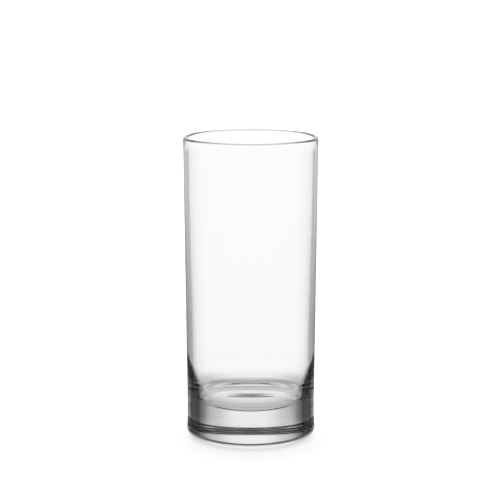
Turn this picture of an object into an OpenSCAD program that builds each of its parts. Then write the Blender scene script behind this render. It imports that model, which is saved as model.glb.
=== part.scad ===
// Highball glass: one blown body with a thin tall wall and a thick clear base.
// Millimetres. The glass stands on z = 0 and its axis is Z.

/* [Body] */
// height from the table to the top of the lip
height = 146; // [120:0.5:175]
// outer radius at the lip
rim_r = 32.1; // [28:0.1:38]
// how much narrower the waist above the heel is than the lip
draft = 1.6; // [0.8:0.05:3]
// height of the waist above the table
waist_z = 15.6; // [12:0.1:20]
// how far the heel stands out past the waist
heel_swell = 0.3; // [0.2:0.02:0.8]
// rounding of the heel down to the table
heel_round = 5; // [3:0.1:7]

/* [Wall] */
// wall thickness at the lip
lip_t = 2.2; // [1.4:0.1:3.2]
// wall thickness above the floor's rounding
low_wall_t = 2.75; // [2.2:0.05:4.5]
// how much the wall's foot leans in before the corner begins
foot_lean = 2.4; // [0.6:0.1:3]
// radius of the wall's foot
foot_round = 56; // [50:1:140]
// radius of the cavity's corner
corner_round = 5; // [3:0.5:14]

/* [Base] */
// height of the cavity's floor above the table, at the axis
floor_z = 15.2; // [12:0.1:22]
// radius of the bowl that the cavity's floor forms
bowl_round = 66; // [32:1:200]
// width of the flat ring that the glass stands on
ring_w = 7; // [3:0.1:10]
// depth of the hollow in the underside
punt_h = 0.8; // [0.6:0.1:3]

/* [Hidden] */
$fn = 180;
glass_tint = [0.93, 0.96, 0.96, 0.35];

// outer wall: a heel arc, a shallow waist arc and a straight wall, each tangent to the next
waist_r = rim_r - draft;
heel_r = waist_r + heel_swell;
waist_rise = waist_z - heel_round;
waist_round = (pow(waist_rise, 2) + pow(heel_swell, 2)) / (2 * heel_swell) - heel_round;
heel_c = [heel_r - heel_round, heel_round];
waist_c = [waist_r + waist_round, waist_z];
heel_out = (waist_c - heel_c) / norm(waist_c - heel_c);
heel_top = heel_c + heel_round * heel_out;

lip_round = lip_t / 2;
lip_c = [rim_r - lip_round, height - lip_round];
outer_run = lip_c - waist_c;
outer_lean = atan2(outer_run[1], -outer_run[0]) - acos((waist_round + lip_round) / norm(outer_run));
outer_in = [-cos(outer_lean), sin(outer_lean)];
wall_low = waist_c + waist_round * outer_in;
wall_high = lip_c - lip_round * outer_in;

// cavity: a straight wall, a long foot arc, a corner arc and a bowl, each tangent to the next
cavity_r = waist_r - low_wall_t;
corner_r = cavity_r - foot_lean - corner_round;
bowl_c = [0, floor_z + bowl_round];
bowl_run = bowl_round - corner_round;
corner_c = [corner_r, bowl_c[1] - sqrt(pow(bowl_run, 2) - pow(corner_r, 2))];
bowl_out = (corner_c - bowl_c) / bowl_run;
bowl_edge = corner_c + corner_round * bowl_out;
corner_sweep = asin(1 - foot_lean / (foot_round - corner_round));
corner_out = [sin(corner_sweep), -cos(corner_sweep)];
corner_top = corner_c + corner_round * corner_out;
foot_c = corner_c - (foot_round - corner_round) * corner_out;
inner_run = lip_c - foot_c;
inner_lean = acos((foot_round + lip_round) / norm(inner_run)) - atan2(inner_run[1], inner_run[0]);
inner_out = [cos(inner_lean), -sin(inner_lean)];
foot_top = foot_c + foot_round * inner_out;
foot_in = foot_top - corner_round * inner_out;
lip_inner = lip_c - lip_round * inner_out;

// underside: a shallow spherical hollow inside the bearing ring
punt_r = heel_r - heel_round - ring_w;
punt_round = (pow(punt_r, 2) + pow(punt_h, 2)) / (2 * punt_h);

module disc(centre, radius) {
  translate(centre) circle(r = radius);
}

// the part of a disc between two directions from its centre, down to the given near points
module slice(centre, radius, from, to, near) {
  reach = radius + lip_t;
  intersection() {
    disc(centre, radius);
    polygon(concat(near, [centre + reach * from, centre + reach * (from + to), centre + reach * to]));
  }
}

module outer_half() {
  difference() {
    polygon([[0, 0], [heel_c[0], 0], heel_top, wall_low, wall_high, lip_inner, [0, lip_inner[1]]]);
    slice(waist_c, waist_round, outer_in, -heel_out, [waist_c]);
  }
  disc(heel_c, heel_round);
}

module cavity_half() {
  polygon([
    [0, bowl_edge[1]], bowl_edge, corner_top, foot_top, lip_inner, [lip_inner[0], height + lip_t],
    [0, height + lip_t]
  ]);
  slice(bowl_c, bowl_round, [0, -1], bowl_out, [corner_c, [0, corner_c[1]]]);
  disc(corner_c, corner_round);
  slice(foot_c, foot_round, corner_out, inner_out, [foot_in, corner_c]);
}

module punt_half() {
  intersection() {
    disc([0, punt_h - punt_round], punt_round);
    square([heel_c[0], punt_h + lip_t]);
  }
}

module profile() {
  difference() {
    outer_half();
    cavity_half();
    punt_half();
  }
  disc(lip_c, lip_round);
}

module tumbler() {
  color(glass_tint) rotate_extrude() profile();
}

tumbler();
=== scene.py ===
import math

import bpy
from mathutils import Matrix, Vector


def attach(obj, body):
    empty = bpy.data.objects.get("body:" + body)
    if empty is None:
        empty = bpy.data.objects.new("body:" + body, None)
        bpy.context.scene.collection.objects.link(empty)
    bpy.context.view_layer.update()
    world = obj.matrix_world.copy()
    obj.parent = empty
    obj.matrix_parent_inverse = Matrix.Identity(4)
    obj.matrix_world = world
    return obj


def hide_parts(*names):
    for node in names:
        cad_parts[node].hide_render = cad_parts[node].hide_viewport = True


# Sizes, in millimetres, the same as the part's own

HEIGHT = 146.0
RIM_R = 32.1
DRAFT = 1.6
WAIST_Z = 15.6
HEEL_SWELL = 0.3
HEEL_ROUND = 5.0
LIP_T = 2.2
LOW_WALL_T = 2.75
FOOT_LEAN = 2.4
FOOT_ROUND = 56.0
CORNER_ROUND = 5.0
FLOOR_Z = 15.2
RING_W = 7.0
PUNT_H = 0.8
BOWL_ROUND = 66.0
RING_EASE = 0.5
MM_PER_M = 1000.0

# Steps of the mesh, round the axis and along each stretch of the profile

TURNS = 288
PUNT_STEPS = 48
EASE_STEPS = 8
HEEL_STEPS = 36
WAIST_STEPS = 32
LIP_STEPS = 32
WALL_STEPS = 24
FOOT_STEPS = 48
CORNER_STEPS = 36
BOWL_STEPS = 36
ON_AXIS = 1e-9

# Camera, in millimetres, degrees and pixels, fitted to the photograph's lip, outline and base

CAMERA_AWAY = 970.0
LIP_ELEVATION = 6.615
LIP_HALF_PX = 67.7
LIP_CENTRE_PX = 136.4
AXIS_PX = 250.75
FRAME_PX = 500.0
SENSOR_MM = 36.0
PITCH_ROUNDS = 40

# Studio, as pairs of degrees above the horizon and brightness, through the glass and mirrored in it

STUDIO_LEVELS = [
    (-90.0, 0.5), (-60.0, 0.6), (-40.0, 0.6), (-25.0, 0.85), (-19.0, 1.0), (24.0, 1.0), (32.0, 0.6),
    (40.0, 0.1), (50.0, 0.03), (90.0, 0.03)
]
MIRROR_LEVELS = [
    (-90.0, 0.8), (-20.0, 0.8), (-15.5, 0.06), (-13.0, 0.06), (-6.0, 0.6), (-2.0, 0.9),
    (3.0, 1.2), (15.0, 1.2), (30.0, 1.0), (90.0, 1.0)
]

# Floor and lamp, in metres, and the floor's glow as pairs of a share of its reach and brightness

FLOOR_SIZE = 24.0
FLOOR_WHITE = 0.8
FLOOR_REACH = 2.0
FLOOR_GLOW = [(0.0, 0.6), (0.1, 0.6), (0.4, 0.9), (1.0, 1.0)]
LAMP_PLACE = (0.0, 0.15, 1.1)
LAMP_SIZE = 0.9
LAMP_POWER = 5.0

# Painted shade at the glass edges, in place of dark surroundings seen through them, as pairs of how far
# the surface turns away and what the glass lets through

WALL_SHADE = [
    (0.0, 1.0), (0.3, 1.0), (0.45, 0.92), (0.55, 0.82), (0.6, 0.7), (0.64, 0.25), (0.75, 0.4),
    (0.8, 0.3), (1.0, 1.0)
]
LOW_WALL_SHADE = [
    (0.0, 1.0), (0.3, 1.0), (0.45, 0.88), (0.55, 0.57), (0.6, 0.22), (0.7, 0.22), (0.75, 0.13),
    (1.0, 0.6)
]
FOOT_SHADE = [
    (0.0, 1.0), (0.3, 1.0), (0.35, 0.45), (0.42, 0.01), (0.62, 0.01), (0.7, 0.3), (0.75, 0.8), (1.0, 1.0)
]
BASE_SHADE = [
    (0.0, 1.0), (0.05, 0.98), (0.15, 0.55), (0.25, 0.42), (0.35, 0.1), (0.45, 0.01), (0.7, 0.02),
    (0.75, 0.15), (0.8, 0.6), (1.0, 1.0)
]

# Where each painted edge shade holds, and how far the foot's slides, as pairs of a share of the height
# and an amount

LOW_WALL_SHARES = [(0.0, 1.0), (0.42, 1.0), (0.8, 0.0), (1.0, 0.0)]
FOOT_SLIDE_SHARES = [
    (0.0, 0.0), (0.15, 0.0), (0.19, 0.03), (0.215, 0.075), (0.25, 0.2), (0.285, 0.42), (0.3, 0.7),
    (1.0, 0.7)
]
BASE_SHARES = [(0.0, 1.0), (0.15, 1.0), (0.178, 0.0), (1.0, 0.0)]
PAINTED_SHADE_SHARES = [(0.0, 0.0), (0.012, 0.0), (0.03, 1.0), (1.0, 1.0)]

# Glass body and surface, with the haze as pairs of the noise's value and the roughness

GLASS_IOR = 1.5
BODY_DENSITY = 18.0
BODY_COLOUR = (0.88, 0.89, 0.89, 1.0)
HAZE = [(0.45, 0.0), (0.8, 0.008)]
HAZE_SCALE = 60.0
HAZE_DETAIL = 3.0
WAVE_SCALE = 38.0
WAVE_DETAIL = 1.0
WAVE_FINE_SHARE = 0.3
WAVE_STRETCH = (1.0, 1.0, 0.35)
WAVE_STRENGTH = 0.1
WAVE_DEPTH = 0.0002


def arc(centre, radius, start, end, steps):
    """Points of an arc between two angles in degrees."""
    points = []
    for i in range(steps + 1):
        a = math.radians(start + (end - start) * i / steps)
        points.append((centre[0] + radius * math.cos(a), centre[1] + radius * math.sin(a)))
    return points


def line(start, end, steps):
    return [
        (start[0] + (end[0] - start[0]) * i / steps, start[1] + (end[1] - start[1]) * i / steps)
        for i in range(steps + 1)
    ]


def eased(before, corner, after, reach, steps):
    """A curve that takes the place of a corner, from reach before it to reach after it."""
    def toward(target):
        dx, dz = target[0] - corner[0], target[1] - corner[1]
        n = math.hypot(dx, dz)
        return corner[0] + dx / n * reach, corner[1] + dz / n * reach

    a, b = toward(before), toward(after)
    points = []
    for i in range(steps + 1):
        t = i / steps
        points.append(tuple(
            (1 - t) ** 2 * a[k] + 2 * t * (1 - t) * corner[k] + t ** 2 * b[k] for k in (0, 1)
        ))
    return points


def glass_profile():
    """The part's profile in millimetres, and for each point whether it lies on the outer surface."""
    waist_r = RIM_R - DRAFT
    heel_r = waist_r + HEEL_SWELL
    waist_rise = WAIST_Z - HEEL_ROUND
    waist_round = (waist_rise ** 2 + HEEL_SWELL ** 2) / (2 * HEEL_SWELL) - HEEL_ROUND
    heel_c = (heel_r - HEEL_ROUND, HEEL_ROUND)
    waist_c = (waist_r + waist_round, WAIST_Z)
    heel_top = math.degrees(math.atan2(waist_c[1] - heel_c[1], waist_c[0] - heel_c[0]))

    lip_round = LIP_T / 2
    lip_c = (RIM_R - lip_round, HEIGHT - lip_round)
    outer_run = (lip_c[0] - waist_c[0], lip_c[1] - waist_c[1])
    outer_lean = math.degrees(
        math.atan2(outer_run[1], -outer_run[0])
        - math.acos((waist_round + lip_round) / math.hypot(*outer_run))
    )

    corner_r = waist_r - LOW_WALL_T - FOOT_LEAN - CORNER_ROUND
    bowl_c = (0.0, FLOOR_Z + BOWL_ROUND)
    bowl_run = BOWL_ROUND - CORNER_ROUND
    bowl_edge = math.degrees(math.asin(corner_r / bowl_run)) - 90.0
    corner_c = (corner_r, bowl_c[1] - math.sqrt(bowl_run ** 2 - corner_r ** 2))
    foot_run = FOOT_ROUND - CORNER_ROUND
    corner_sweep = math.degrees(math.asin(1 - FOOT_LEAN / foot_run))
    foot_c = (
        corner_c[0] - foot_run * math.sin(math.radians(corner_sweep)),
        corner_c[1] + foot_run * math.cos(math.radians(corner_sweep)),
    )
    inner_run = (lip_c[0] - foot_c[0], lip_c[1] - foot_c[1])
    inner_lean = math.degrees(
        math.acos((FOOT_ROUND + lip_round) / math.hypot(*inner_run))
        - math.atan2(inner_run[1], inner_run[0])
    )

    punt_r = heel_r - HEEL_ROUND - RING_W
    punt_round = (punt_r ** 2 + PUNT_H ** 2) / (2 * PUNT_H)
    punt_edge = math.degrees(math.asin(punt_r / punt_round))

    # outer surface, from the hollow's middle to the lip, with the ring's inner edge eased
    punt = arc((0.0, PUNT_H - punt_round), punt_round, 90.0, 90.0 - punt_edge, PUNT_STEPS)
    punt[0] = (0.0, PUNT_H)
    ring, heel_low = (punt_r, 0.0), (heel_c[0], 0.0)
    outer = punt[:-2] + eased(punt[-3], ring, heel_low, RING_EASE, EASE_STEPS)
    outer += arc(heel_c, HEEL_ROUND, -90.0, heel_top, HEEL_STEPS)
    outer += arc(waist_c, waist_round, 180.0 + heel_top, 180.0 - outer_lean, WAIST_STEPS)[1:]
    lip = arc(lip_c, lip_round, -outer_lean, 180.0 - inner_lean, LIP_STEPS)
    outer += line(outer[-1], lip[0], WALL_STEPS)[1:-1]

    # cavity, from the lip down to the floor's middle
    foot = arc(foot_c, FOOT_ROUND, -inner_lean, corner_sweep - 90.0, FOOT_STEPS)
    inner_wall = line(lip[-1], foot[0], WALL_STEPS)[1:-1]
    corner = arc(corner_c, CORNER_ROUND, corner_sweep - 90.0, bowl_edge, CORNER_STEPS)[1:]
    bowl = arc(bowl_c, BOWL_ROUND, bowl_edge, -90.0, BOWL_STEPS)[1:]
    bowl[-1] = (0.0, FLOOR_Z)
    inner = inner_wall + foot + corner + bowl
    return outer + lip + inner, [1.0] * len(outer) + [0.0] * (len(lip) + len(inner))


def turned(name, profile, outside, turns):
    """A closed solid of revolution from a profile in millimetres that starts and ends on the axis."""
    verts, rows, faces, marks = [], [], [], []
    for (r, z), mark in zip(profile, outside):
        marks += [mark] * (1 if r < ON_AXIS else turns)
        if r < ON_AXIS:
            rows.append([len(verts)] * turns)
            verts.append((0.0, 0.0, z / MM_PER_M))
            continue
        rows.append(list(range(len(verts), len(verts) + turns)))
        for k in range(turns):
            a = 2 * math.pi * k / turns
            verts.append((r * math.cos(a) / MM_PER_M, r * math.sin(a) / MM_PER_M, z / MM_PER_M))
    for low, high in zip(rows, rows[1:]):
        for k in range(turns):
            j = (k + 1) % turns
            face = []
            for v in (low[k], low[j], high[j], high[k]):
                if v not in face:
                    face.append(v)
            faces.append(face)
    mesh = bpy.data.meshes.new(name)
    mesh.from_pydata(verts, [], faces)
    mesh.shade_smooth()
    mesh.attributes.new("outside", "FLOAT", "POINT").data.foreach_set("value", marks)
    mesh.update()
    piece = bpy.data.objects.new(name, mesh)
    bpy.context.collection.objects.link(piece)
    return piece


def node(tree, kind, **values):
    made = tree.nodes.new(kind)
    for key, value in values.items():
        if hasattr(made, key):
            setattr(made, key, value)
        else:
            made.inputs[key].default_value = value
    return made


def ramp(tree, fac, stops):
    """A grey ramp through pairs of place and value."""
    made = tree.nodes.new("ShaderNodeValToRGB")
    elements = made.color_ramp.elements
    elements[0].position, elements[0].color = stops[0][0], (*[stops[0][1]] * 3, 1.0)
    elements[1].position, elements[1].color = stops[-1][0], (*[stops[-1][1]] * 3, 1.0)
    for position, value in stops[1:-1]:
        elements.new(position).color = (value, value, value, 1.0)
    tree.links.new(fac, made.inputs["Fac"])
    return made.outputs["Color"]


def calc(tree, operation, *values):
    made = tree.nodes.new("ShaderNodeMath")
    made.operation = operation
    for socket, value in zip(made.inputs, values):
        if isinstance(value, (int, float)):
            socket.default_value = value
        else:
            tree.links.new(value, socket)
    return made.outputs["Value"]


def mixed(tree, fac, a, b):
    made = node(tree, "ShaderNodeMix", data_type="RGBA")
    tree.links.new(fac, made.inputs["Factor"])
    for socket, value in ((made.inputs[6], a), (made.inputs[7], b)):
        if isinstance(value, float):
            socket.default_value = (value, value, value, 1.0)
        else:
            tree.links.new(value, socket)
    return made.outputs[2]


def glass_material():
    material = bpy.data.materials.new("clear_glass")
    material.use_nodes = True
    tree = material.node_tree
    shader = tree.nodes["Principled BSDF"]
    shader.inputs["Transmission Weight"].default_value = 1.0
    shader.inputs["IOR"].default_value = GLASS_IOR
    place = node(tree, "ShaderNodeTexCoord")

    # painted shade: the glass's colour darkens at the edges as the surface turns away, most of all in
    # the solid base, in place of dark surroundings seen through them
    turn = node(tree, "ShaderNodeLayerWeight", Blend=0.5)
    wall, low_wall, base = (
        ramp(tree, turn.outputs["Facing"], edge) for edge in (WALL_SHADE, LOW_WALL_SHADE, BASE_SHADE)
    )
    parts = node(tree, "ShaderNodeSeparateXYZ")
    tree.links.new(place.outputs["Object"], parts.inputs["Vector"])
    rise = calc(tree, "MULTIPLY", parts.outputs["Z"], MM_PER_M / HEIGHT)
    wall = mixed(tree, ramp(tree, rise, LOW_WALL_SHARES), wall, low_wall)
    foot = calc(tree, "SUBTRACT", turn.outputs["Facing"], ramp(tree, rise, FOOT_SLIDE_SHARES))
    upper = calc(tree, "MULTIPLY", wall, ramp(tree, foot, FOOT_SHADE))
    solid = ramp(tree, rise, BASE_SHARES)
    # the painted edge shade lies only on the outer surface, and not on its lowest few millimetres
    outside = node(tree, "ShaderNodeAttribute", attribute_name="outside")
    painted_shade_share = calc(tree, "MULTIPLY", outside.outputs["Fac"], ramp(tree, rise, PAINTED_SHADE_SHARES))
    edge = mixed(tree, painted_shade_share, 1.0, mixed(tree, solid, upper, base))
    tree.links.new(edge, shader.inputs["Base Color"])

    # faint haze from handling
    haze = node(tree, "ShaderNodeTexNoise", Scale=HAZE_SCALE, Detail=HAZE_DETAIL)
    tree.links.new(place.outputs["Object"], haze.inputs["Vector"])
    tree.links.new(ramp(tree, haze.outputs["Fac"], HAZE), shader.inputs["Roughness"])

    # long soft waves left by the making
    stretch = node(tree, "ShaderNodeMapping")
    stretch.inputs["Scale"].default_value = WAVE_STRETCH
    tree.links.new(place.outputs["Object"], stretch.inputs["Vector"])
    waves = node(
        tree, "ShaderNodeTexNoise", Scale=WAVE_SCALE, Detail=WAVE_DETAIL, Roughness=WAVE_FINE_SHARE
    )
    tree.links.new(stretch.outputs["Vector"], waves.inputs["Vector"])
    bump = node(tree, "ShaderNodeBump", Strength=WAVE_STRENGTH, Distance=WAVE_DEPTH)
    tree.links.new(waves.outputs["Fac"], bump.inputs["Height"])
    tree.links.new(bump.outputs["Normal"], shader.inputs["Normal"])

    # a faint grey in the body of the glass
    body = node(tree, "ShaderNodeVolumeAbsorption", Density=BODY_DENSITY)
    body.inputs["Color"].default_value = BODY_COLOUR
    tree.links.new(body.outputs["Volume"], tree.nodes["Material Output"].inputs["Volume"])
    return material


def studio_world():
    world = bpy.data.worlds.new("studio")
    bpy.context.scene.world = world
    world.use_nodes = True
    tree = world.node_tree
    tree.nodes.clear()
    place = node(tree, "ShaderNodeTexCoord")
    parts = node(tree, "ShaderNodeSeparateXYZ")
    tree.links.new(place.outputs["Generated"], parts.inputs["Vector"])
    height = calc(tree, "MULTIPLY_ADD", parts.outputs["Z"], 0.5, 0.5)
    rays = node(tree, "ShaderNodeLightPath")
    through, mirrored = (
        ramp(tree, height, [((math.sin(math.radians(a)) + 1) / 2, level) for a, level in levels])
        for levels in (STUDIO_LEVELS, MIRROR_LEVELS)
    )
    sheen = calc(tree, "MULTIPLY", rays.outputs["Is Reflection Ray"], rays.outputs["Is Glossy Ray"])
    seen = mixed(tree, sheen, through, mirrored)
    seen = mixed(tree, rays.outputs["Is Camera Ray"], seen, 1.0)
    light = node(tree, "ShaderNodeBackground")
    tree.links.new(seen, light.inputs["Color"])
    out = node(tree, "ShaderNodeOutputWorld")
    tree.links.new(light.outputs["Background"], out.inputs["Surface"])


def floor_material():
    material = bpy.data.materials.new("studio_floor")
    material.use_nodes = True
    tree = material.node_tree
    tree.nodes.clear()
    paper = node(tree, "ShaderNodeBsdfDiffuse", Color=(FLOOR_WHITE, FLOOR_WHITE, FLOOR_WHITE, 1.0))
    glow = node(tree, "ShaderNodeEmission")
    place = node(tree, "ShaderNodeTexCoord")
    away = node(tree, "ShaderNodeVectorMath", operation="LENGTH")
    tree.links.new(place.outputs["Object"], away.inputs[0])
    level = ramp(tree, calc(tree, "DIVIDE", away.outputs["Value"], FLOOR_REACH), FLOOR_GLOW)
    rays = node(tree, "ShaderNodeLightPath")
    tree.links.new(calc(tree, "MULTIPLY", rays.outputs["Is Camera Ray"], level), glow.inputs["Strength"])
    both = node(tree, "ShaderNodeAddShader")
    tree.links.new(paper.outputs["BSDF"], both.inputs[0])
    tree.links.new(glow.outputs["Emission"], both.inputs[1])
    out = node(tree, "ShaderNodeOutputMaterial")
    tree.links.new(both.outputs["Shader"], out.inputs["Surface"])
    return material


def studio_floor():
    bpy.ops.mesh.primitive_plane_add(size=FLOOR_SIZE, location=(0.0, 0.0, 0.0))
    floor = bpy.context.object
    floor.name = "studio_floor"
    floor.data.materials.append(floor_material())
    floor.visible_glossy = False
    floor.visible_transmission = False


def soft_lamp(name, place, size, power):
    light = bpy.data.lights.new(name, "AREA")
    light.shape = "DISK"
    light.size = size
    light.energy = power
    lamp = bpy.data.objects.new(name, light)
    bpy.context.collection.objects.link(lamp)
    lamp.location = place
    lamp.rotation_euler = (-Vector(place)).to_track_quat("-Z", "Y").to_euler()
    lamp.visible_glossy = False
    lamp.visible_transmission = False


def studio_camera():
    """The camera whose lip ellipse has the photograph's place, width and tilt."""
    tilt = math.radians(LIP_ELEVATION)
    camera_up = HEIGHT + CAMERA_AWAY * math.tan(tilt)
    pitch = tilt
    for _ in range(PITCH_ROUNDS):
        depth = CAMERA_AWAY * math.cos(pitch) + (camera_up - HEIGHT) * math.sin(pitch)
        focal = LIP_HALF_PX * depth / RIM_R
        pitch = tilt + math.atan((FRAME_PX / 2 - LIP_CENTRE_PX) / focal)
    camera = bpy.data.cameras.new("camera")
    camera.sensor_width = SENSOR_MM
    camera.lens = SENSOR_MM * focal / FRAME_PX
    camera.shift_x = (FRAME_PX / 2 - AXIS_PX) / FRAME_PX
    holder = bpy.data.objects.new("camera", camera)
    bpy.context.collection.objects.link(holder)
    holder.location = (0.0, -CAMERA_AWAY / MM_PER_M, camera_up / MM_PER_M)
    holder.rotation_euler = (math.pi / 2 - pitch, 0.0, 0.0)
    bpy.context.scene.camera = holder


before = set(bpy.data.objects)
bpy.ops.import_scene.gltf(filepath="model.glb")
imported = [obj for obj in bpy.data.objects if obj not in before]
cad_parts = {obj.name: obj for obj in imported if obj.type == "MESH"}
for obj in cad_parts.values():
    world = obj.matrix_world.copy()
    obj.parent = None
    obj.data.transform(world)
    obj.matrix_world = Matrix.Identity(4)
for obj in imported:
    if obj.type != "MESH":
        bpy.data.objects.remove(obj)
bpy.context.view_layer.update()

glass = turned("tumbler_glass", *glass_profile(), TURNS)
glass.data.materials.append(glass_material())
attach(glass, "root")
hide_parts("tumbler")

studio_world()
studio_floor()
soft_lamp("top_lamp", LAMP_PLACE, LAMP_SIZE, LAMP_POWER)
studio_camera()

cycles = bpy.context.scene.cycles
cycles.max_bounces = 32
cycles.transmission_bounces = 32
cycles.glossy_bounces = 24
cycles.diffuse_bounces = 4
cycles.caustics_reflective = True
cycles.caustics_refractive = True
bpy.context.scene.view_settings.view_transform = "Standard"
